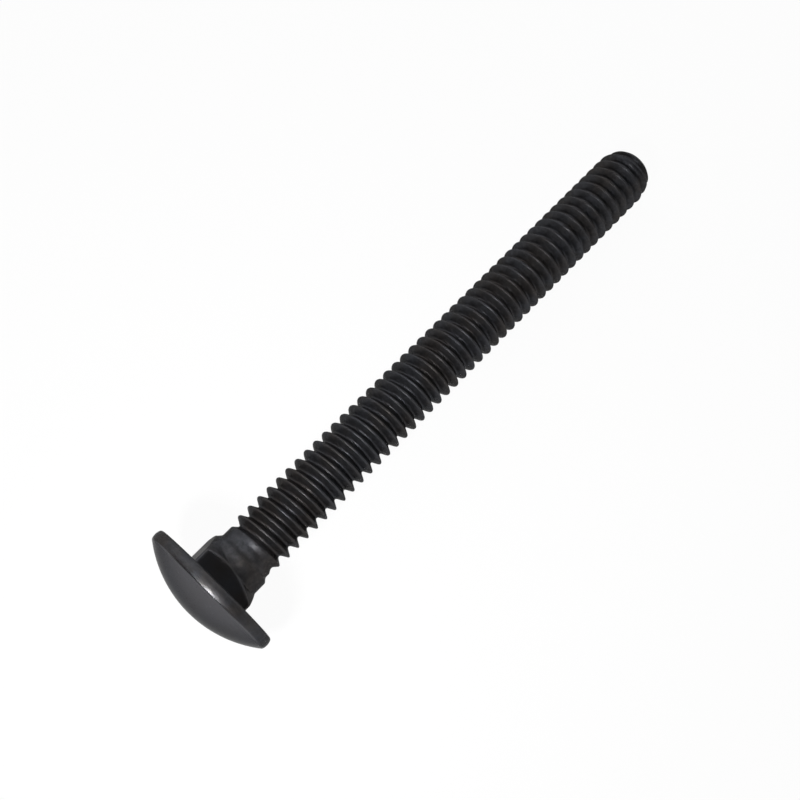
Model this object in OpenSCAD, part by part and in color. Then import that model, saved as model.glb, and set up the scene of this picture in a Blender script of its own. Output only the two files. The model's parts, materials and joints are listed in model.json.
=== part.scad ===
// Carriage bolt, 1/4-20 UNC, 2-1/2 inches long, one cold-headed and thread-rolled piece of steel.
// Its own frame has the centre of the bearing face under the head at the origin and the shank along +Z.
// The finished bolt lies as it comes to rest: on the head's rim and on the last full crest of the thread.

/* [Length] */
// Nominal length, from the bearing face under the head to the end of the point
bolt_l = 63.5; // [38.1:0.1:76.2]

/* [Head] */
// Width of the round head
head_d = 14.64; // [13.6:0.02:16]
// Height of the head over its bearing face
head_h = 3.55; // [3.2:0.05:4.2]
// Height over the bearing face at which the dome's sphere reaches the full width
rim_h = 1.1; // [0.95:0.05:1.4]
// Height over the bearing face at which the crowned rim is widest
rim_mid_h = 0.65; // [0.55:0.05:0.75]
// Radius of the rim's crown, seen in section
rim_crown_r = 1.3; // [1.1:0.05:2]
// Radius on the crease between the dome and the rim
dome_edge_r = 0.2; // [0.1:0.05:0.4]
// Radius on the rim's edge on the bearing side
rim_edge_r = 0.3; // [0.15:0.05:0.4]

/* [Square neck] */
// Width of the neck across its flats
neck_w = 6.5; // [6.2:0.05:7]
// Length of the neck, from the bearing face to the plain shank
neck_l = 3.6; // [3.2:0.05:4.2]
// Radius along the four corners of the neck
neck_corner_r = 0.3; // [0.15:0.05:0.8]
// How far the steel fills the corners before they fade
corner_fill_l = 1.55; // [1.2:0.05:1.9]
// Length over which the corners fade into the round collar
corner_fade_l = 1; // [0.7:0.05:1.2]
// Lean of the fade, because one corner of the die filled further than the opposite one
corner_fade_lean = 13; // [0:0.5:15]
// Diameter of the round collar that the corners fade into
collar_d = 6.34; // [6:0.02:6.48]
// Length of the chamfer from the collar down to the shank
collar_chamfer_l = 0.4; // [0.2:0.05:0.6]

/* [Shank] */
// Diameter of the plain shank, which is the blank that the thread is rolled on
shank_d = 5.66; // [5.4:0.02:5.9]
// Length of plain shank between the neck and the first trace of the thread
shank_l = 0.35; // [0.3:0.05:6]

/* [Thread] */
// Major diameter, over the crests
thread_d = 6.2; // [6.1:0.02:6.34]
// Pitch, the advance of the thread in one turn
pitch = 1.27; // [1:0.01:1.6]
// Turns over which the groove deepens to its full depth
groove_run_in = 0.9; // [0.5:0.05:1.5]
// Turns over which the crest rises from the shank to the major diameter
crest_run_in = 0.9; // [0.5:0.05:1.5]
// Way that the thread winds
thread_hand = "right"; // [right, left]

/* [Point] */
// Diameter that the long chamfer leads down to from the major diameter
point_d = 5.2; // [4.6:0.05:5.6]
// Length of the long chamfer, up to the bevel
point_l = 1.5; // [0.6:0.05:1.8]
// Width and length of the short bevel round the flat end face
end_bevel = 0.45; // [0.1:0.05:0.6]

/* [Lying] */
// Turn of the bolt about its own axis as it lies, counted from one flat of the neck facing down
roll = 18.4; // [0:0.1:90]

/* [Hidden] */
$fn = 96;
steel = "#26262a";

head_r = head_d / 2;
collar_r = collar_d / 2;
shank_r = shank_d / 2;
crest_r = thread_d / 2;
point_r = point_d / 2;
thread_z = neck_l + shank_l;
chamfer_z = bolt_l - end_bevel - point_l;

// Room that cutting shapes and clearance walls take beyond what they cut
over = 1;

// The thread has sixty-degree flanks, a crest flat an eighth of the pitch wide and a depth of 0.595 pitch
flank_angle = 30;
crest_flat = pitch / 8;
thread_depth = 0.595 * pitch;
root_r = crest_r - thread_depth;
root_flat = pitch - crest_flat - 2 * thread_depth * tan(flank_angle);

// The spiral surface begins inside the collar and shank, a little under their skin
thread_facets = 24;
hidden_turns = 1.75;
skin = 0.02;
spiral_z = thread_z - hidden_turns * pitch;
groove_from = hidden_turns - 0.5 + root_flat / pitch / 2;
crest_from = groove_from + groove_run_in;
spiral_steps = ceil((bolt_l - spiral_z) / pitch + 0.25) * thread_facets;

// Centre of the rim's crown, as distance from the axis and height in the bolt's own frame
crown_centre = [head_r - rim_crown_r, -rim_mid_h];

// The resting contacts are the rim's crown and the last crest before the point, both at the bottom
last_crest_z = spiral_z + pitch * floor((chamfer_z - spiral_z) / pitch);
contact_run = last_crest_z - crown_centre[1];
contact_drop = crown_centre[0] - crest_r;
lean = atan2(contact_drop, contact_run) + asin(rim_crown_r / norm([contact_run, contact_drop]));

// Share of a run-in that is done after so many turns, with a soft start and end
function run_in(turns, length) =
    let (t = max(0, min(1, turns / length)))
    t * t * (3 - 2 * t);

// Radius of the crest and of the root, so many turns along the spiral
function crest_radius(turns) = shank_r - skin + (crest_r - shank_r + skin) * run_in(turns - crest_from, crest_run_in);
function root_radius(turns) = shank_r - skin + (root_r - shank_r + skin) * run_in(turns - groove_from, groove_run_in);

// Distance along the axis from the middle of a crest to each point of the thread's profile
profile_z = [-crest_flat / 2, crest_flat / 2, (pitch - root_flat) / 2, (pitch + root_flat) / 2];

// Point of the spiral surface: step counts the facets round the axis, and place the profile's four points
function spiral_point(step, place) =
    let (
        turns = step / thread_facets,
        angle = 360 * turns,
        radius = place < 2 ? crest_radius(turns) : root_radius(turns)
    )
    [radius * cos(angle), radius * sin(angle), spiral_z + pitch * turns + profile_z[place]];

// Where two circles cross, on the outer side, given the centres and how far the crossing is from each
function crossing(first, first_r, second, second_r) =
    let (
        apart = second - first,
        way = apart / norm(apart),
        along = (pow(first_r, 2) - pow(second_r, 2) + pow(norm(apart), 2)) / (2 * norm(apart)),
        aside = sqrt(pow(first_r, 2) - pow(along, 2))
    )
    first + along * way + aside * [way[1], -way[0]];

// Waste outside an edge arc: a wedge from the arc's centre, past the two circles it joins, less the arc's circle
module edge_waste(centre, edge_r, outward) {
    difference() {
        polygon([centre, centre + outward[0], centre + outward[1], centre + outward[2]]);
        translate(centre) circle(r = edge_r);
    }
}

// Dome, crowned rim and bearing face of the head, as half of its section
module head_section() {
    dome_rise = head_h - rim_h;
    dome_r = (pow(head_r, 2) + pow(dome_rise, 2)) / (2 * dome_rise);
    dome_centre = [0, dome_r - head_h];
    crease = crossing(crown_centre, rim_crown_r - dome_edge_r, dome_centre, dome_r - dome_edge_r);
    to_dome = (crease - dome_centre) / norm(crease - dome_centre);
    to_crown = (crease - crown_centre) / norm(crease - crown_centre);
    edge_drop = -rim_edge_r - crown_centre[1];
    rim_edge = [crown_centre[0] + sqrt(pow(rim_crown_r - rim_edge_r, 2) - pow(edge_drop, 2)), -rim_edge_r];
    to_rim = (rim_edge - crown_centre) / norm(rim_edge - crown_centre);
    difference() {
        intersection() {
            translate(dome_centre) circle(r = dome_r);
            translate([0, -head_h]) square([head_r, head_h]);
            union() {
                translate([0, -head_h]) square([crease[0], head_h]);
                translate(crown_centre) circle(r = rim_crown_r);
            }
        }
        edge_waste(crease, dome_edge_r, [to_dome, to_dome + to_crown, to_crown] * over);
        edge_waste(rim_edge, rim_edge_r, [to_rim, to_rim + [0, 1], [0, 1]] * over);
    }
}

module head() {
    rotate_extrude() head_section();
}

// Square with its corners rounded
module neck_section() {
    inner = neck_w - 2 * neck_corner_r;
    square([neck_w, inner], center = true);
    square([inner, neck_w], center = true);
    for (x = [-1, 1], y = [-1, 1])
        translate([x, y] * inner / 2) circle(r = neck_corner_r);
}

// Solid of revolution that leaves the corners full near the head and fades them into the collar
module corner_fade() {
    corner_r = neck_w / sqrt(2);
    fade_slope = corner_fade_l / (corner_r - collar_r);
    fade_z = corner_fill_l + corner_fade_l / 2;
    translate([0, 0, fade_z]) rotate([corner_fade_lean, 0, -45]) translate([0, 0, -fade_z])
        rotate_extrude() polygon([
            [0, -neck_l],
            [corner_r + over, -neck_l],
            [corner_r + over, corner_fill_l - over * fade_slope],
            [0, corner_fill_l + corner_r * fade_slope]
        ]);
}

// Square neck with its fading corners
module neck() {
    intersection() {
        linear_extrude(neck_l) neck_section();
        corner_fade();
    }
}

// Round collar under the square, its chamfer and the plain shank
module shank() {
    rotate_extrude() polygon([
        [0, 0],
        [collar_r, 0],
        [collar_r, neck_l - collar_chamfer_l],
        [shank_r, neck_l],
        [shank_r, thread_z],
        [0, thread_z]
    ]);
}

// Thread and core in one closed spiral surface, with a fan of facets at each end
module thread_spiral() {
    rows = spiral_steps + thread_facets;
    corners = [for (step = [0 : rows], place = [0 : 3]) spiral_point(step, place)];
    start_centre = len(corners);
    end_centre = start_centre + 1;
    centres = [[0, 0, spiral_z + pitch / 2], [0, 0, spiral_z + pitch * (rows / thread_facets - 0.5)]];
    function at(step, place) = place < 4 ? 4 * step + place : 4 * (step + thread_facets);
    walls = [
        for (step = [0 : spiral_steps - 1], place = [0 : 3])
            let (a = at(step, place), b = at(step, place + 1), c = at(step + 1, place + 1), d = at(step + 1, place))
            each [[a, b, c], [a, c, d]]
    ];
    start_fan = [
        for (place = [0 : 3]) [at(0, place + 1), at(0, place), start_centre],
        for (step = [0 : thread_facets - 1]) [at(step, 0), at(step + 1, 0), start_centre]
    ];
    end_fan = [
        for (place = [0 : 3]) [at(spiral_steps, place), at(spiral_steps, place + 1), end_centre],
        for (step = [spiral_steps : rows - 1]) [at(step + 1, 0), at(step, 0), end_centre]
    ];
    polyhedron(points = concat(corners, centres), faces = concat(walls, start_fan, end_fan));
}

// Thread cut off square at the end, with the chamfer of the point
module thread() {
    chamfer_slope = point_l / (crest_r - point_r);
    difference() {
        mirror([0, thread_hand == "left" ? 1 : 0, 0]) thread_spiral();
        rotate_extrude() polygon([
            [0, bolt_l],
            [point_r - end_bevel, bolt_l],
            [point_r, bolt_l - end_bevel],
            [crest_r + over, chamfer_z - over * chamfer_slope],
            [crest_r + over, bolt_l + 3 * pitch],
            [0, bolt_l + 3 * pitch]
        ]);
    }
}

module carriage_bolt() {
    color(steel) rotate([0, 90 + lean, 0]) {
        rotate([0, 0, roll]) {
            head();
            neck();
        }
        shank();
        thread();
    }
}

carriage_bolt();
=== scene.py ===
# %% [markdown]
# # A carriage bolt in blackened steel
# A carriage bolt is one piece of wire that cold dies have shaped. One end is upset into a low round head and a
# short square neck, the other end is pointed, and then two flat dies roll the thread into the blank.
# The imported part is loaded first, as a fixed frame: it says where the bolt lies, how it leans and how thick its
# thread is. Everything that follows is measured from it, so the finished bolt can't drift from the solid one.
# The sizes are in millimetres, as on a bolt maker's drawing, and each step names the ones that it needs. The bolt
# is worked out standing on its head, with the bearing face at zero and the shank going up, and it is only laid
# down at the end: shapes that turn about an axis are easiest to think about that way.

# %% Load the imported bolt
import json
import math

import bmesh
import bpy
import numpy as np
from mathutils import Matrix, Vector


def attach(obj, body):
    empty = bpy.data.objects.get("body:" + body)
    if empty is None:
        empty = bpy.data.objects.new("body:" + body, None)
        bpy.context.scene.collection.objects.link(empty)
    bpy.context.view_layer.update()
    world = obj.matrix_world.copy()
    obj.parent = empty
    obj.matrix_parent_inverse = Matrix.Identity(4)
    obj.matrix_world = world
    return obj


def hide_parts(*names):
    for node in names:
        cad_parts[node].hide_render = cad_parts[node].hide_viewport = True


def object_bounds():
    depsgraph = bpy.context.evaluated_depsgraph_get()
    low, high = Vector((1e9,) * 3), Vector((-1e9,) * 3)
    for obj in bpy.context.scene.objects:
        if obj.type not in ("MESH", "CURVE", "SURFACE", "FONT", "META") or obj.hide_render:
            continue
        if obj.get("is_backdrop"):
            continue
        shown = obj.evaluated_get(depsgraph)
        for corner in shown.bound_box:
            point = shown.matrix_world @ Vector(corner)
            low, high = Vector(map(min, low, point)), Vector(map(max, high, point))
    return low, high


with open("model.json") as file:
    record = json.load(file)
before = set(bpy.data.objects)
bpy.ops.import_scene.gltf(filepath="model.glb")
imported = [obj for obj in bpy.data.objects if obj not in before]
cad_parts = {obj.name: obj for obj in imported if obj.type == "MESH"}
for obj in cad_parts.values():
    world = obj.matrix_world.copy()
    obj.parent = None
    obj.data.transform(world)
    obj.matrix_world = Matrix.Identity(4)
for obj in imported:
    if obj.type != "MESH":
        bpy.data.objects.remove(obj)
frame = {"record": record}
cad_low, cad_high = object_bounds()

MM = 0.001
mounts = {mount["name"]: mount for mount in frame["record"]["mounts"]}
shank_axis = Vector(mounts["bearing_face"]["axis"])
LEAN = math.asin(-shank_axis.z)
box = [round(v / MM, 2) for v in cad_high - cad_low]
print("the bolt dips", round(math.degrees(LEAN), 3), "degrees; its box in mm:", box)

# %% [markdown]
# ## Soft corners
# No edge on a forged and rolled part is perfectly sharp, and a sharp edge never catches the light. Each shape
# below is therefore built from a ramp whose two corners are rounded by a short parabola. The same small
# function rounds the thread's crests and roots, the fade of the neck's corners and the chamfer of the collar.


# %% Ramps with rounded corners
def soft_step(t):
    """Goes from 0 to 1 with a level start and end: 3 t squared minus 2 t cubed, held at 0 and 1 outside."""
    t = np.clip(t, 0, 1)
    return t * t * (3 - 2 * t)


def soft_rise(x, soft):
    """The larger of x and 0, with the corner at 0 rounded by a parabola that reaches soft to either side."""
    return np.where(x < -soft, 0.0, np.where(x > soft, x, (x + soft) ** 2 / (4 * soft)))


def soft_ramp(x, soft_low, soft_high):
    """0 below 0, x between 0 and 1, and 1 above, with the two corners rounded."""
    return soft_rise(x, soft_low) - soft_rise(x - 1, soft_high)


def soft_least(a, b, soft):
    """The smaller of two heights, with the crease between them rounded over soft."""
    return a - soft_rise(a - b, soft)


print("a ramp at 0, half and 1:", [round(float(soft_ramp(x, 0.1, 0.1)), 3) for x in (0.0, 0.5, 1.0)])

# %% [markdown]
# ## The grid
# The whole skin of the bolt is one sheet wrapped round the axis. Its columns run along the bolt and its rows
# run round it, and each row gives a radius and a height for every column. On the head the columns are evenly
# spread. On the neck they crowd towards the four corners, where the skin bends most, and on the round shank
# they spread out again, which can't be seen because the shank is round. The bolt has rolled a little on its
# axis as it came to rest, so every angle is turned by that roll.

# %% Columns round the axis
COLUMNS = 128
CROWDING = 0.85
ROLL = math.radians(18.4)
even = np.linspace(0, 2 * np.pi, COLUMNS + 1)


def column_angles(crowding):
    """Angles of the columns from one flat of the neck: even, plus a sine of four waves that crowds the corners."""
    return even + crowding / 4 * np.sin(4 * even)


def rings(radius, height, crowding):
    """Stacks rows of radius, angle and height. Radius and height are one number or one row per ring."""
    radius, height, crowding = (np.asarray(v, float).reshape(len(height), -1) for v in (radius, height, crowding))
    angle = column_angles(crowding) + ROLL
    return np.stack(np.broadcast_arrays(radius, angle, height), axis=-1)


def steps(start, end, count):
    """So many even steps from start to end, one to a row, without the start itself."""
    return np.linspace(start, end, count + 1)[1:, None]


closest = np.degrees(np.diff(column_angles(CROWDING)).min())
print(COLUMNS, "columns; the closest two on the neck are", round(float(closest), 2), "degrees apart")

# %% [markdown]
# ## The head
# The dome is part of a large sphere. The narrow rim isn't pressed by a die: the steel bulges out freely there, so
# it is a shallow crown with a fairly crisp crease to the dome and a small radius to the flat bearing face. The
# half section is a chain of four arcs that touch each other smoothly, carried round the axis. The centre of an
# arc that touches two others from inside is where two slightly smaller circles about their centres cross.


# %% Arcs that touch
def arc(centre, radius, start, end, count):
    """Points of an arc as rows of radius and height: the centre plus the radius times sine and minus cosine."""
    turn = np.linspace(start, end, count)
    return np.stack([centre[0] + radius * np.sin(turn), centre[1] - radius * np.cos(turn)], axis=-1)


def crossing(first, first_r, second, second_r):
    """Outer crossing of two circles: so far along the line of centres, and the rest of the radius aside."""
    apart = second - first
    way = apart / np.hypot(*apart)
    along = (first_r**2 - second_r**2 + apart @ apart) / (2 * np.hypot(*apart))
    return first + along * way + math.sqrt(first_r**2 - along**2) * np.array([way[1], -way[0]])


def turn_of(centre, point):
    """Turn of the line from an arc's centre to a point, counted from straight up the dome."""
    return math.atan2(point[0] - centre[0], centre[1] - point[1])


print("two circles of 5 about centres 6 apart cross at", crossing(np.zeros(2), 5.0, np.array([0.0, 6.0]), 5.0))

# %% Dome, crease, rim and lower edge
HEAD_R = 7.316
HEAD_H = 3.55
RIM_H = 1.1
RIM_MID_H = 0.65
RIM_CROWN_R = 1.3
DOME_EDGE_R = 0.2
RIM_EDGE_R = 0.3
DOME_POINTS, CREASE_POINTS, CROWN_POINTS, EDGE_POINTS = 34, 5, 10, 6

dome_rise = HEAD_H - RIM_H
dome_r = (HEAD_R**2 + dome_rise**2) / (2 * dome_rise)
dome = np.array([0, dome_r - HEAD_H])
crown = np.array([HEAD_R - RIM_CROWN_R, -RIM_MID_H])
crease = crossing(crown, RIM_CROWN_R - DOME_EDGE_R, dome, dome_r - DOME_EDGE_R)
edge_drop = RIM_MID_H - RIM_EDGE_R
edge = crown + np.array([math.sqrt((RIM_CROWN_R - RIM_EDGE_R) ** 2 - edge_drop**2), edge_drop])
dome_end, crown_start, crown_end = turn_of(dome, crease), turn_of(crown, crease), turn_of(crown, edge)
section = np.concatenate([
    arc(dome, dome_r, 0, dome_end, DOME_POINTS),
    arc(crease, DOME_EDGE_R, dome_end, crown_start, CREASE_POINTS)[1:],
    arc(crown, RIM_CROWN_R, crown_start, crown_end, CROWN_POINTS)[1:],
    arc(edge, RIM_EDGE_R, crown_end, np.pi, EDGE_POINTS)[1:],
])
crease_z = crease[1] - DOME_EDGE_R * math.cos((dome_end + crown_start) / 2)
head_rows = rings(section[:, 0], section[:, 1], np.zeros(len(section)))
width, height = 2 * section[:, 0].max(), -section[:, 1].min()
print(f"head {width:.2f} mm wide and {height:.2f} mm high, crease {-crease_z:.2f} mm over the bearing face")

# %% [markdown]
# ## The square neck
# The square keeps the bolt from turning in timber. It is pressed out of the round blank, so its four corners
# are full only near the head and fade into a round collar, and here the die filled one corner further than the
# opposite one. The skin is the smaller of two radii: that of a square with rounded corners, and that of a cone
# about a leaning axis, which shears the corners off. Neither may go below the collar.

# %% Square, fading corners and collar
NECK_HALF = 3.25
NECK_L = 3.6
NECK_CORNER_R = 0.3
CORNER_FILL_L = 1.55
CORNER_FADE_L = 1.0
CORNER_FADE_LEAN = math.radians(13)
COLLAR_R = 3.17
COLLAR_CHAMFER_L = 0.4
SHANK_R = 2.83
FADE_SOFT, VALLEY_SOFT = 0.22, 0.08
CHAMFER_SOFT, CHAMFER_FOOT_SOFT = 0.25, 0.3
CORNER_END_L = 0.1


def square_radius(angle):
    """Square with rounded corners: the flat's half width over the cosine, or the far side of the corner's circle."""
    a = np.abs((angle + np.pi / 4) % (np.pi / 2) - np.pi / 4)
    centre = NECK_HALF - NECK_CORNER_R
    reach = centre * (np.cos(a) + np.sin(a))
    corner = reach + np.sqrt(np.maximum(reach**2 - 2 * centre**2 + NECK_CORNER_R**2, 0))
    return np.where(a < math.atan2(centre, NECK_HALF), NECK_HALF / np.cos(a), corner)


def fade_radius(angle, z):
    """Radius left by the leaning cone: it falls in a straight line with the height over the plane that leans."""
    corner_r = NECK_HALF * math.sqrt(2)
    slope = (corner_r - COLLAR_R) / CORNER_FADE_L
    middle_z = CORNER_FILL_L + CORNER_FADE_L / 2
    across = np.cos(angle - np.pi / 4)
    middle_r = (corner_r + COLLAR_R) / 2
    high = (z - middle_z) - middle_r * across * math.tan(CORNER_FADE_LEAN)
    return middle_r - high * slope


def neck_radius(angle, z):
    """Square and fading cone, the smaller one, over the collar and its chamfer down to the shank.

    What is left of the corners at the top of the chamfer ends over a tenth of a millimetre.
    """
    square = soft_least(square_radius(angle), fade_radius(angle, z), FADE_SOFT)
    past_collar = z - (NECK_L - COLLAR_CHAMFER_L)
    down = soft_ramp(past_collar / COLLAR_CHAMFER_L, CHAMFER_SOFT, CHAMFER_FOOT_SOFT)
    collar = COLLAR_R + (SHANK_R - COLLAR_R) * down
    within = 1 - soft_step(past_collar / CORNER_END_L)
    return collar + soft_rise(square - collar, VALLEY_SOFT) * within


print("corner of the square", round(float(square_radius(np.pi / 4)), 2), "mm from the axis, collar", COLLAR_R, "mm")

# %% Rows from the bearing face to the shank
NECK_FILLET_R = 0.12
SHANK_L = 0.35
THREAD_Z = NECK_L + SHANK_L
FULL_Z, ROUND_Z = 0.6, NECK_L + 0.15
neck_angles = column_angles(CROWDING)
inward = steps(0, 1, 8)
bearing_r = edge[0] * (1 - inward) + (square_radius(neck_angles) + NECK_FILLET_R) * inward
bearing_rows = rings(bearing_r, np.zeros_like(inward), CROWDING * inward)

turn = steps(0, np.pi / 2, 3)
fillet_r = neck_radius(neck_angles, 0) + NECK_FILLET_R * (1 - np.sin(turn))
fillet_rows = rings(fillet_r, NECK_FILLET_R * (1 - np.cos(turn)), CROWDING * np.ones_like(turn))

neck_z = np.concatenate([steps(NECK_FILLET_R, FULL_Z, 3), steps(FULL_Z, ROUND_Z, 61)])
neck_rows = rings(neck_radius(neck_angles, neck_z), neck_z, CROWDING * np.ones_like(neck_z))
shank_z = steps(ROUND_Z, THREAD_Z, 3)
spreading = CROWDING * (THREAD_Z - shank_z) / (THREAD_Z - ROUND_Z)
shank_rows = rings(np.full_like(shank_z, SHANK_R), shank_z, spreading)
print(len(neck_rows), "rows on the neck, whose corners reach", round(float(neck_rows[..., 0].max()), 2), "mm")

# %% [markdown]
# ## The rolled thread
# Rolling doesn't cut steel away, it pushes it: the groove sinks below the blank and the steel it displaces
# rises beside it as the crest. At the head end the dies fade out, so groove and crest both grow over about a
# turn. The radius is a function of the angle and the height. The height is counted in turns from the nearest
# crest, whose own place on the spiral says how far the run-in has got, and a ramp with soft corners leads down
# the flank from crest to root. Over the first half millimetre all of it rises softly out of the shank.

# %% Radius of the thread at any angle and height
PITCH = 1.27
RUN_IN = 0.9
HIDDEN_TURNS = 1.75
START_L = 0.5
CREST_R = mounts["thread"]["dims"]["r_mm"]
THREAD_DEPTH = 0.595 * PITCH
ROOT_R = CREST_R - THREAD_DEPTH
CREST_FLAT = 1 / 8
ROOT_FLAT = 1 - CREST_FLAT - 2 * THREAD_DEPTH / PITCH * math.tan(math.radians(30))
FLANK = (1 - CREST_FLAT - ROOT_FLAT) / 2
CREST_SOFT, ROOT_SOFT = 0.13, 0.2
spiral_z = THREAD_Z - HIDDEN_TURNS * PITCH
groove_from = HIDDEN_TURNS - 0.5 + ROOT_FLAT / 2
crest_from = groove_from + RUN_IN


def thread_radius(angle, z):
    """Crest radius, less the thread's depth times a soft ramp of the distance in turns from the nearest crest."""
    turn = angle / (2 * np.pi)
    along = (z - spiral_z) / PITCH - turn
    before = np.floor(along)
    place = along - before
    crest_turn = before + turn + (place > 0.5)
    crest = SHANK_R + (CREST_R - SHANK_R) * soft_step((crest_turn - crest_from) / RUN_IN)
    root = SHANK_R + (ROOT_R - SHANK_R) * soft_step((before + turn - groove_from) / RUN_IN)
    from_crest = np.minimum(place, 1 - place)
    down = soft_ramp((from_crest - CREST_FLAT / 2) / FLANK, CREST_SOFT, ROOT_SOFT)
    full = crest + (root - crest) * down
    return SHANK_R + (full - SHANK_R) * soft_step((z - THREAD_Z) / START_L)


print("thread depth", round(THREAD_DEPTH, 3), "mm, root radius", round(ROOT_R, 3), "mm")

# %% [markdown]
# ## The point
# The blank's end was bevelled before rolling, so the last turns sink below the full diameter and the end is a
# small flat face with a soft bevel round it. The point is the smaller of the thread and this pointed outline.

# %% Radius under the point
THREAD_L = mounts["thread"]["dims"]["length_mm"]
BOLT_L = Vector(mounts["thread"]["pos_m"]).length / MM + THREAD_L / 2
POINT_R = 2.6
POINT_L = 1.5
END_BEVEL = 0.45
POINT_SOFT, CUT_SOFT = 0.12, 0.02


def point_radius(z):
    """Straight line down to the point's radius, then a steeper one down to the end face."""
    long_cone = CREST_R + (POINT_R - CREST_R) * (z - (BOLT_L - END_BEVEL - POINT_L)) / POINT_L
    bevel = POINT_R - (z - (BOLT_L - END_BEVEL))
    return soft_least(long_cone, bevel, POINT_SOFT)


def threaded_end(angle, z):
    """The smaller of thread and point, with the crease between them a little rounded."""
    return soft_least(thread_radius(angle, z), point_radius(z), CUT_SOFT)


print("length under the head", round(BOLT_L, 2), "mm, end face", round(2 * float(point_radius(BOLT_L)), 2), "mm wide")

# %% [markdown]
# ## Rows that follow the spiral
# If the rows were level rings, every crest would cross them at a slant and its highlight would look chopped.
# So each row climbs by one pitch in one turn, as the thread does, and ends where the row twelve places above it
# begins. At both ends the climbing rows are held back to one level ring, where they meet the shank and the
# point. Many of their corners then fall together, and are merged later.

# %% Thread rows and end rows
soft_crest, soft_root = CREST_SOFT * FLANK, ROOT_SOFT * FLANK
crest_edge, root_edge = CREST_FLAT / 2, CREST_FLAT / 2 + FLANK
half = np.array([
    crest_edge - soft_crest, crest_edge, crest_edge + soft_crest,
    root_edge - soft_root, root_edge, root_edge + soft_root,
])
places = np.concatenate([half, 1 - half[::-1]])
LEVEL_FROM = BOLT_L - 0.9
SNAP = 0.04
SPARE_TURNS = 2

turns = int((BOLT_L - spiral_z) / PITCH) + SPARE_TURNS
row_turn = (np.arange(-SPARE_TURNS, turns)[:, None] + places).reshape(-1, 1)
angle = even + ROLL
climb_z = spiral_z + PITCH * (row_turn + angle / (2 * np.pi))
climb_z = np.where(climb_z < THREAD_Z + SNAP, THREAD_Z, climb_z)
climb_z = np.where(climb_z > LEVEL_FROM - SNAP, LEVEL_FROM, climb_z)
thread_rows = np.stack(np.broadcast_arrays(threaded_end(angle, climb_z), angle, climb_z), axis=-1)

end_z = steps(LEVEL_FROM, BOLT_L, 25)
end_rows = np.stack(np.broadcast_arrays(threaded_end(angle, end_z), angle, end_z), axis=-1)
face_share = steps(1, 0, 6)
flat_z = np.full_like(face_share, BOLT_L)
face_rows = rings(point_radius(BOLT_L) * face_share, flat_z, np.zeros_like(face_share))
end_count = len(end_rows) + len(face_rows)
print(len(places), "rows per turn,", len(thread_rows), "thread rows,", end_count, "rows at the end")

# %% [markdown]
# ## One closed skin
# All rows are stacked into one sheet and laid down into the frame: turned about the sideways axis by a right
# angle and the lean. Neighbouring rows and columns are joined by four-sided faces. Corners that fall together
# (the seam, the poles and the held-back rows) are merged, which leaves one closed skin without a hole.


# %% Lay the sheet down and close it
MERGED_WITHIN = 1e-7


def laid_down(x, y, z):
    """Bolt frame in millimetres to the row frame in metres: shank up to shank along X, dipping by the lean."""
    c, s = math.cos(LEAN), math.sin(LEAN)
    return np.stack([z * c - x * s, y, -x * c - z * s], axis=-1) * MM


def stood_up(points):
    """The way back, from the row frame in metres to the bolt frame in millimetres."""
    c, s = math.cos(LEAN), math.sin(LEAN)
    x, y, z = points.T / MM
    return -x * s - z * c, y, x * c - z * s


def sheet_mesh(name, sheet):
    """Mesh of a sheet of rows: corner (i, j) is joined to its neighbours (i+1, j), (i+1, j+1) and (i, j+1)."""
    radius, angle, height = np.moveaxis(sheet, -1, 0)
    points = laid_down(radius * np.cos(angle), radius * np.sin(angle), height).reshape(-1, 3)
    number = np.arange(len(points)).reshape(radius.shape)
    faces = np.stack([number[:-1, :-1], number[:-1, 1:], number[1:, 1:], number[1:, :-1]], axis=-1).reshape(-1, 4)
    mesh = bpy.data.meshes.new(name)
    mesh.from_pydata(points, [], faces)
    skin = bmesh.new()
    skin.from_mesh(mesh)
    bmesh.ops.remove_doubles(skin, verts=skin.verts, dist=MERGED_WITHIN)
    bmesh.ops.recalc_face_normals(skin, faces=skin.faces)
    open_edges = sum(not edge.is_manifold for edge in skin.edges)
    skin.to_mesh(mesh)
    skin.free()
    mesh.shade_smooth()
    triangles = len(mesh.loops) - 2 * len(mesh.polygons)
    print(name, len(mesh.vertices), "corners,", triangles, "triangles,", open_edges, "open edges")
    return mesh


sheet = np.concatenate([
    head_rows, bearing_rows, fillet_rows, neck_rows, shank_rows, thread_rows, end_rows, face_rows,
])
bolt = bpy.data.objects.new("bolt", sheet_mesh("bolt", sheet))
bpy.context.scene.collection.objects.link(bolt)
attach(bolt, "root")
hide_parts("carriage_bolt")

# %% [markdown]
# ## Rubbed, sheltered and polished places
# Black oxide is only a few thousandths of a millimetre thick. It rubs to a greyer steel on whatever sticks out:
# the crests, the rim, the corners of the neck. In the roots of the thread it stays dull. And it is as smooth as
# the steel below it: the dome and the flats of the neck took the polish of their dies, and the crease of the
# head has been handled bright, while the rim and the collar, where the steel only bulged, are as rough as the
# wire. Each of the three is written on the corners of the mesh as one number from 0 to 1, worked out from radius,
# angle and height. Numbers on the mesh follow the shape exactly, which a pattern in space couldn't do round a
# spiral.

# %% Where the corners of the mesh are on the bolt
# The bearing face is at height 0, give or take a thousandth of a millimetre of rounding
JUST_PAST = 1e-3
corners = np.empty(len(bolt.data.vertices) * 3)
bolt.data.vertices.foreach_get("co", corners)
x, y, z = stood_up(corners.reshape(-1, 3))
radius = np.hypot(x, y)
on_head = z < JUST_PAST
in_thread = soft_step((z - THREAD_Z) / START_L)
off_flat = np.abs(radius - square_radius(np.arctan2(y, x) - ROLL))
print(round(100 * float(in_thread.mean())), "% of the corners are on the thread,", int(on_head.sum()), "on the head")

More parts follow.
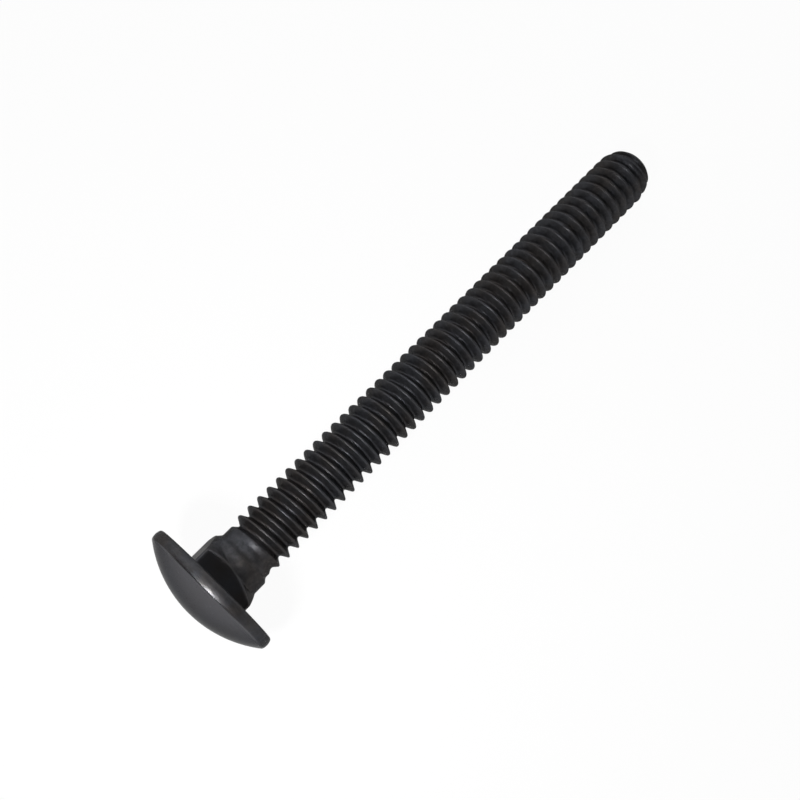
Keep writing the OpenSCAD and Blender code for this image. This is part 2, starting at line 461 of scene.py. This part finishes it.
# %% Rubbed and sheltered, from 0 to 1
CREST_RUB_DEPTH, RIM_RUB_DEPTH, SHELTER_DEPTH = 0.16, 0.35, 0.25
CORNER_RUB_FROM, CORNER_RUB_FADE = 3.9, 0.45
crest_rub = in_thread * soft_step((radius - CREST_R + CREST_RUB_DEPTH) / CREST_RUB_DEPTH)
rim_rub = on_head * soft_step((radius - HEAD_R + RIM_RUB_DEPTH) / RIM_RUB_DEPTH)
square_rub = ~on_head * (1 - in_thread) * soft_step((radius - CORNER_RUB_FROM) / CORNER_RUB_FADE)
rubbed = np.maximum.reduce([crest_rub, rim_rub, square_rub])
sheltered = in_thread * soft_step((CREST_R - SHELTER_DEPTH - radius) / (THREAD_DEPTH - SHELTER_DEPTH))
print(round(100 * float((rubbed > 0.5).mean())), "% of the corners are rubbed,", end=" ")
print(round(100 * float((sheltered > 0.5).mean())), "% sheltered")

# %% Polished, from 0 to 1, and all three written on the mesh
DOME_POLISH, RIM_POLISH, CREASE_POLISH, FLAT_POLISH, THREAD_POLISH = 0.52, 0.04, 0.76, 0.25, 0.07
CREASE_WIDTH, CREASE_REACH = 0.28, 0.4
PRESSED_L, PRESSED_FADE_L = 1.3, 0.9
FLAT_WITHIN, FLAT_FADE = 0.05, 0.1
ROLLED_DEPTH, ROLLED_FADE = 0.14, 0.1
crease_share = (radius > HEAD_R - CREASE_REACH) * (1 - soft_step(np.abs(z - crease_z) / CREASE_WIDTH))
head_polish = np.maximum(np.where(z < crease_z, DOME_POLISH, RIM_POLISH), CREASE_POLISH * crease_share)
near_head = 1 - soft_step((z - PRESSED_L) / PRESSED_FADE_L)
pressed = near_head * (1 - soft_step((off_flat - FLAT_WITHIN) / FLAT_FADE))
rolled = in_thread * soft_step((np.maximum(radius - CREST_R, ROOT_R - radius) + ROLLED_DEPTH) / ROLLED_FADE)
polished = np.where(on_head, head_polish, np.maximum(FLAT_POLISH * pressed, THREAD_POLISH * rolled))

marks = {"rubbed": rubbed, "sheltered": sheltered, "polished": polished}
for name, values in marks.items():
    bolt.data.attributes.new(name, "FLOAT", "POINT").data.foreach_set("value", values.astype(np.float32))
    print(name, "average over the corners", round(float(values.mean()), 3))

# %% [markdown]
# ## Black oxide
# Hot black oxide is magnetite, grown on the steel in a salt bath and then oiled. It gives the eye a near-black
# metal with a satin gloss, blue-black in some places and brown-black in others. The shader starts from a metal
# with a roughness of about a half, as such a finish has on forged steel. A twelfth of it is plain scatter from
# the oxide's crystals, a weak clear coat is the film of oil, and a dark edge tint keeps the rims black where
# bare steel would flash white.

# %% Colours
DIE_POLISHED = "#5c5c5f"
BLUE_BLACK = "#404145"
BROWN_BLACK = "#3d3a39"
DULL_BLACK = "#242425"
RUBBED_STEEL = "#5a5958"


def linear(hex_colour):
    """The linear colour of an sRGB hex colour, for a shader socket."""
    srgb = np.array([int(hex_colour[i : i + 2], 16) for i in (1, 3, 5)]) / 255
    rgb = np.where(srgb <= 0.04045, srgb / 12.92, ((srgb + 0.055) / 1.055) ** 2.4)
    return (*rgb.tolist(), 1.0)


print("blue-black in linear light:", [round(v, 3) for v in linear(BLUE_BLACK)[:3]])


# %% A node with its settings and links
def add(tree, kind, inputs=(), **settings):
    """Adds a node, sets its properties, and sets or links its inputs, which are given by name or number."""
    node = tree.nodes.new(kind)
    for name, value in settings.items():
        setattr(node, name, value)
    for socket, value in dict(inputs).items():
        if isinstance(value, bpy.types.NodeSocket):
            tree.links.new(value, node.inputs[socket])
        else:
            node.inputs[socket].default_value = value
    return node


steel = bpy.data.materials.new("black_oxide")
steel.use_nodes = True
tree = steel.node_tree
tree.nodes.clear()
print("the material", steel.name, "starts empty")

# %% [markdown]
# ## Patterns of the finish
# The patterns are noise on Object coordinates, turned by a Mapping node so that one axis follows the shank. Each
# has the size of what it stands for: clouds of colour from the salt bath, rubbed patches, the mottled skin of the
# wire, the grain of the steel and the lines that the rolling dies left round the axis. Real grain and die lines
# are a few hundredths of a millimetre wide. They are drawn three times as coarse, so that they show. The first
# table gives each pattern's coordinates, its size in millimetres, and the detail and roughness of its noise. The
# second turns a pattern or a mark into a share: the two values it lies between, and what each of them becomes.

# %% Noise at the size of the real marks
SQUEEZED = 12
place = add(tree, "ShaderNodeTexCoord").outputs["Object"]
along = add(tree, "ShaderNodeMapping", {"Vector": place, "Rotation": (0, -LEAN, 0)}).outputs["Vector"]
streaks = add(tree, "ShaderNodeMapping", {"Vector": along, "Scale": (SQUEEZED, 1, 1)}).outputs["Vector"]
sizes_mm = {
    "clouds": (along, 3.5, 3.0, 0.55),
    "patches": (along, 0.9, 3.0, 0.55),
    "mottle": (along, 0.5, 3.0, 0.6),
    "grain": (along, 0.16, 4.0, 0.65),
    "die_lines": (streaks, 1.1, 4.0, 0.7),
}
pattern = {}
for name, (vector, size, detail, rough) in sizes_mm.items():
    inputs = {"Vector": vector, "Scale": 1 / (size * MM), "Detail": detail, "Roughness": rough}
    pattern[name] = add(tree, "ShaderNodeTexNoise", inputs).outputs["Fac"]
mark = {name: add(tree, "ShaderNodeAttribute", attribute_name=name).outputs["Fac"] for name in marks}
print("patterns:", ", ".join(pattern), "; marks:", ", ".join(mark))

# %% Shares of the colours, and heights of the relief
ranges = {
    "brown": (pattern["clouds"], 0.4, 0.62, 0.0, 1.0),
    "rubbed_through": (pattern["patches"], 0.4, 0.7, 0.0, 0.15),
    "sooty": (pattern["mottle"], 0.42, 0.62, 0.5, 0.0),
    "rough_skin": (mark["polished"], 0.0, 0.1, 1.0, 0.0),
    "dome": (mark["polished"], 0.47, 0.52, 0.0, 0.75),
    "satin": (pattern["grain"], 0.3, 0.7, 0.46, 0.58),
    "mottle_relief": (mark["polished"], 0.0, 0.2, 0.35, 0.0),
}
share = {}
for name, (value, low, high, at_low, at_high) in ranges.items():
    inputs = {"Value": value, "From Min": low, "From Max": high, "To Min": at_low, "To Max": at_high}
    share[name] = add(tree, "ShaderNodeMapRange", inputs, clamp=True).outputs["Result"]
print("shares:", ", ".join(share))

# %% [markdown]
# ## Colour, gloss and relief
# The colours lie over one another like layers of a finish, each with its own share: brown clouds over the
# blue-black, sooty mottling where no die has pressed, the paler polished dome, and rubbed steel on top. The
# gloss is the satin of the grain, made duller in shelter and smoother by polish. The relief is a chain of
# bumps, a few hundredths of a millimetre high: nothing that deep would change the outline, so bump is enough.

# %% The finished material
soot = add(tree, "ShaderNodeMath", {0: share["sooty"], 1: share["rough_skin"]}, operation="MULTIPLY")
bare = add(tree, "ShaderNodeMath", {0: mark["rubbed"], 1: share["rubbed_through"]}, operation="MULTIPLY")
layers = (
    (share["brown"], BROWN_BLACK), (soot.outputs["Value"], DULL_BLACK),
    (share["dome"], DIE_POLISHED), (bare.outputs["Value"], RUBBED_STEEL),
)
colour = linear(BLUE_BLACK)
for amount, over in layers:
    colour = add(tree, "ShaderNodeMix", {0: amount, 6: colour, 7: linear(over)}, data_type="RGBA").outputs[2]

dull = add(tree, "ShaderNodeMath", {0: mark["sheltered"], 1: 0.05, 2: share["satin"]}, operation="MULTIPLY_ADD")
gloss = {0: mark["polished"], 1: -0.4, 2: dull.outputs["Value"]}
roughness = add(tree, "ShaderNodeMath", gloss, operation="MULTIPLY_ADD").outputs["Value"]

relief = {}
for height, strength, depth in (
    (pattern["mottle"], share["mottle_relief"], 0.04),
    (pattern["grain"], 0.4, 0.02),
    (pattern["die_lines"], 0.2, 0.02),
):
    bump = add(tree, "ShaderNodeBump", {"Height": height, "Strength": strength, "Distance": depth * MM, **relief})
    relief = {"Normal": bump.outputs["Normal"]}

shader = add(tree, "ShaderNodeBsdfPrincipled", {
    "Base Color": colour, "Roughness": roughness, "Metallic": 0.92, "Specular Tint": (0.24, 0.24, 0.24, 1),
    "Coat Weight": 0.1, "Coat Roughness": 0.2, **relief,
})
add(tree, "ShaderNodeOutputMaterial", {"Surface": shader.outputs["BSDF"]})
bolt.data.materials.append(steel)
print(steel.name, "has", len(tree.nodes), "nodes")

# %% [markdown]
# ## Floor
# The bolt lies on a plain white sheet of paper that fills the view. Most of its white is its own, for the eye and
# for reflections, so that the background is white and the polished dome mirrors a white floor. The rest is lit
# by the lamps, so the sheet keeps the bolt's soft shadow.

# %% Sheet of white paper
SPAN = 1.2
OWN_WHITE, LIT_WHITE = 0.95, 0.85
floor_z = cad_low.z
corner = [(-SPAN, -SPAN, floor_z), (SPAN, -SPAN, floor_z), (SPAN, SPAN, floor_z), (-SPAN, SPAN, floor_z)]
floor_mesh = bpy.data.meshes.new("floor")
floor_mesh.from_pydata(corner, [], [(0, 1, 2, 3)])
floor = bpy.data.objects.new("floor", floor_mesh)
bpy.context.scene.collection.objects.link(floor)
floor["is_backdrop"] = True

paper = bpy.data.materials.new("white_paper")
paper.use_nodes = True
tree = paper.node_tree
tree.nodes.clear()
rays = add(tree, "ShaderNodeLightPath").outputs
seen = rays["Is Camera Ray"]
for ray in ("Is Glossy Ray", "Is Transmission Ray"):
    seen = add(tree, "ShaderNodeMath", {0: seen, 1: rays[ray]}, operation="MAXIMUM").outputs["Value"]
own = add(tree, "ShaderNodeMath", {0: seen, 1: OWN_WHITE}, operation="MULTIPLY").outputs["Value"]
lit = add(tree, "ShaderNodeBsdfDiffuse", {"Color": (LIT_WHITE, LIT_WHITE, LIT_WHITE, 1)}).outputs["BSDF"]
glow = add(tree, "ShaderNodeEmission", {"Color": (1, 1, 1, 1), "Strength": 1.0}).outputs["Emission"]
sheet_white = add(tree, "ShaderNodeMixShader", {0: own, 1: lit, 2: glow}).outputs["Shader"]
add(tree, "ShaderNodeOutputMaterial", {"Surface": sheet_white})
floor_mesh.materials.append(paper)
print("floor at", round(floor_z / MM, 3), "mm")

# %% [markdown]
# ## Camera
# The lens and the place were worked out from the thread itself: forty-four crests on one side and forty-three
# on the other, all one pitch apart on the real bolt, lie in the photograph at places that only one distance and
# one tilt explain. The camera is close, less than ten centimetres from the head, so the bolt tapers towards its
# point.

# %% Camera
CAMERA_FROM_HEAD = Vector((3.327, -20.203, 92.123)) * MM
CAMERA_AZIMUTH, CAMERA_ELEVATION = math.radians(-47.324), math.radians(72.373)
SENSOR_WIDTH, FOCAL_LENGTH = 36, 44.1
towards_camera = Vector((
    math.sin(CAMERA_AZIMUTH) * math.cos(CAMERA_ELEVATION),
    -math.cos(CAMERA_AZIMUTH) * math.cos(CAMERA_ELEVATION),
    math.sin(CAMERA_ELEVATION),
))
lens = bpy.data.cameras.new("camera")
lens.sensor_width, lens.lens = SENSOR_WIDTH, FOCAL_LENGTH
lens.clip_start, lens.clip_end = 0.005, 10
camera = bpy.data.objects.new("camera", lens)
camera.location = CAMERA_FROM_HEAD
camera.rotation_mode = "QUATERNION"
camera.rotation_quaternion = (-towards_camera).to_track_quat("-Z", "Y")
bpy.context.scene.collection.objects.link(camera)
bpy.context.scene.camera = camera
print("camera", round(camera.location.length / MM, 1), "mm from the head")

# %% [markdown]
# ## Light
# A small lamp with a honeycomb grid stands close to the head, just behind the camera's line. It draws the bright
# spot on the head's crease and the thin bright lines on the crests, and the grid lets them weaken towards the
# point. Three large weak lamps fill in from the far side, from the point's end and from above. The world is pale
# at the horizon and dark overhead, like a light tent that is open at the top: flats that face the camera stay
# black, and round places pick up the walls. The table gives for each lamp the place that it lights, the way to
# it from there, its distance and width in metres, its watts, and how many degrees its grid leaves open.

# %% Lamps
FILL_DISTANCE = 0.8
KEY_BEHIND = 0.22
middle = shank_axis * BOLT_L / 2 * MM
beside_camera = towards_camera - KEY_BEHIND * shank_axis
lamps = {
    "key_lamp": (Vector((0, 0, 0)), beside_camera, 0.1, 0.016, 0.022, 75),
    "fill_lamp": (middle, Vector((0.2, 0.9, 0.8)), FILL_DISTANCE, 0.7, 2.5, 180),
    "far_lamp": (middle, Vector((1, 0, 0.8)), FILL_DISTANCE, 0.6, 1.8, 180),
    "top_lamp": (middle, Vector((0.2, 0.1, 1)), FILL_DISTANCE, 0.6, 0.4, 180),
}
for name, (target, direction, distance, size, watts, grid) in lamps.items():
    light = bpy.data.lights.new(name, "AREA")
    light.shape, light.size, light.energy, light.spread = "SQUARE", size, watts, math.radians(grid)
    lamp = bpy.data.objects.new(name, light)
    lamp.location = target + direction.normalized() * distance
    lamp.rotation_mode = "QUATERNION"
    lamp.rotation_quaternion = (-direction).to_track_quat("-Z", "Y")
    bpy.context.scene.collection.objects.link(lamp)
    print(name, watts, "W at", round(distance * 1000), "mm")

# %% Light tent
WALLS_END = 0.5
world = bpy.data.worlds.new("light_tent")
world.use_nodes = True
tree = world.node_tree
tree.nodes.clear()
direction = add(tree, "ShaderNodeTexCoord").outputs["Generated"]
upward = add(tree, "ShaderNodeSeparateXYZ", {0: direction}).outputs["Z"]
wall = {"Value": upward, "From Min": 0.0, "From Max": WALLS_END, "To Min": 1.0, "To Max": 0.0}
walls = add(tree, "ShaderNodeMapRange", wall, clamp=True).outputs["Result"]
tent = add(tree, "ShaderNodeBackground", {"Color": (1, 1, 1, 1), "Strength": walls})
add(tree, "ShaderNodeOutputWorld", {"Surface": tent.outputs["Background"]})
bpy.context.scene.world = world
bpy.context.scene.view_settings.view_transform = "Standard"
print("the tent's walls fade out", round(math.degrees(math.asin(WALLS_END))), "degrees up")

# %% [markdown]
# ## Sizes and finish
# The skin must not stand out past the imported solid anywhere, because other parts are fitted to that solid. So
# the scene's box less the CAD box is printed, at the low corner and at the high corner.

# %% Both boxes, and the end
low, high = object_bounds()
print("scene box less CAD box in mm, low:", [round(v / MM, 3) for v in low - cad_low])
print("scene box less CAD box in mm, high:", [round(v / MM, 3) for v in high - cad_high])
